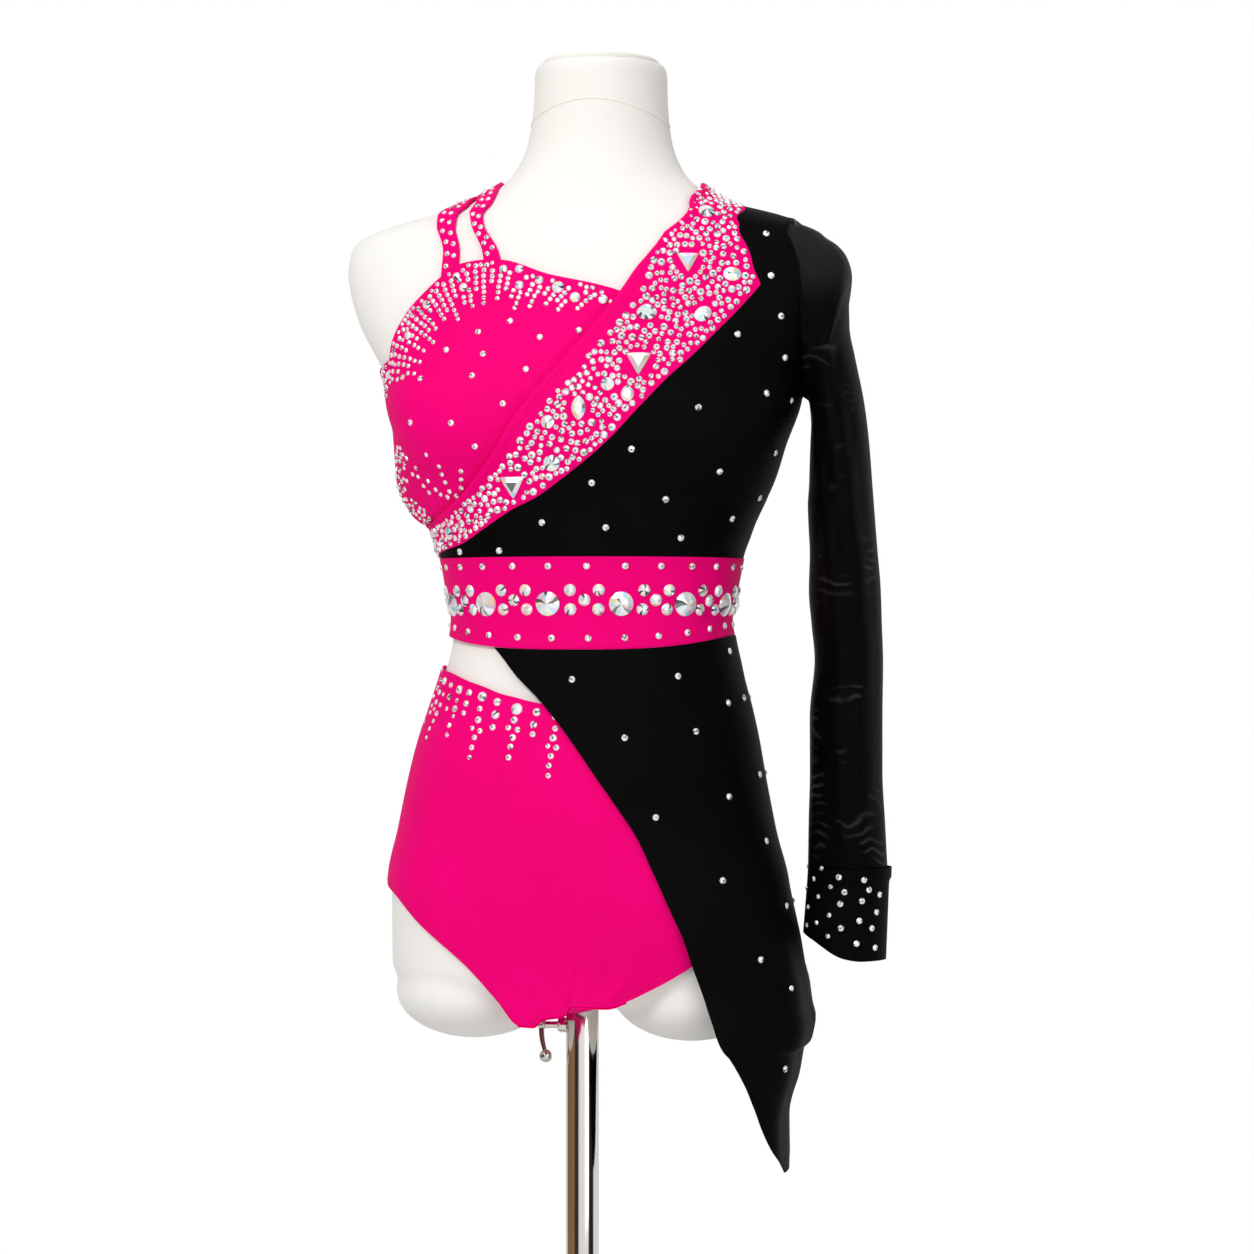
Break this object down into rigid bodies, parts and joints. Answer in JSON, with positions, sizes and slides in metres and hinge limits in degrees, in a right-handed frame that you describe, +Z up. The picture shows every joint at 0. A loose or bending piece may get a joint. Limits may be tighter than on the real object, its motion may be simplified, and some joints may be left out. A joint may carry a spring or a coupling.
{
  "type": "lyrical dance dress on a dress form",
  "caption": "One-sleeved lyrical dance costume with a stoned sash, waistband and pointed hip overlay, worn by a limbless dress form on a pole stand.",
  "frame": {"origin": "centre of the base's flat underside, on the pole's axis", "axes": "+Z up, the dress faces -Y, +X to the wearer's left"},
  "size_m": [0.4542, 0.37, 1.505],
  "materials": {
    "pink_fabric": "hot pink stretch jersey with a soft sheen",
    "black_fabric": "black matt stretch jersey",
    "black_mesh": "sheer black stretch mesh",
    "crystal": "faceted foil-backed stones with pastel reflections",
    "form_cover": "off-white jersey cover",
    "chrome": "polished chrome tube",
    "base_metal": "satin steel disc",
    "lever_grip": "dark red inlay on the clamp lever"
  },
  "bodies": {
    "stand": {"base": "base_metal", "pole_outer": "chrome"},
    "lever": {"clamp_lever": "chrome"},
    "post": {"pole_inner": "chrome"},
    "form": {"form_torso": "form_cover", "neck_cap": "form_cover", "pink_top_front": "pink_fabric", "pink_top_back": "pink_fabric", "strap_outer": "pink_fabric", "strap_inner": "pink_fabric", "sash": "pink_fabric", "black_front": "black_fabric", "black_back": "black_fabric", "sleeve": "black_mesh", "cuff": "black_fabric", "waistband": "pink_fabric", "panel_front": "black_fabric", "panel_back": "black_fabric", "brief_front": "pink_fabric", "brief_back": "pink_fabric", "gusset": "pink_fabric"}
  },
  "joints": [
    {"name": "height_slide", "type": "slide", "parent": "stand", "child": "post", "axis": [0, 0, 1], "range_m": [0, 0.25]},
    {"name": "form_swivel", "type": "hinge", "parent": "post", "child": "form", "pos_m": [0, 0, 0.85], "axis": [0, 0, 1], "continuous": true},
    {"name": "clamp_turn", "type": "hinge", "parent": "stand", "child": "lever", "pos_m": [-0.0265, 0, 0.7055], "axis": [1, 0, 0], "range_deg": [-60, 60]}
  ]
}
